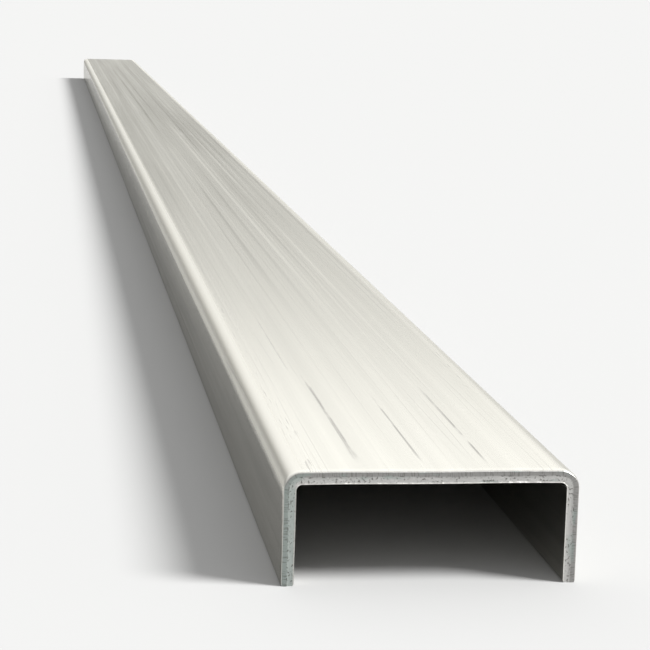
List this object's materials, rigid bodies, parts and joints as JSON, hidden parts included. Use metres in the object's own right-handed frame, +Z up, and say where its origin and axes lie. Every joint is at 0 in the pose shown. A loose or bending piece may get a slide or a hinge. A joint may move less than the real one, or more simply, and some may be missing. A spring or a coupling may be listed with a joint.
{
  "type": "metal channel section",
  "caption": "Straight stock length of cold-formed steel U channel with a flat web, equal flanges, rounded bends and square-cut ends, for frames, rails, purlins and brackets.",
  "frame": {"origin": "on the floor under the middle of the piece: half way along its length and its width, in the plane of the flange edges", "axes": "+X across the web, +Y along the length, +Z up from the flange edges to the web"},
  "size_m": [0.18, 6, 0.07],
  "materials": {
    "mill_steel": "bare mill finish, satin, with lengthwise roll marks and scratches"
  },
  "bodies": {
    "root": {"channel": "mill_steel"}
  },
  "joints": []
}
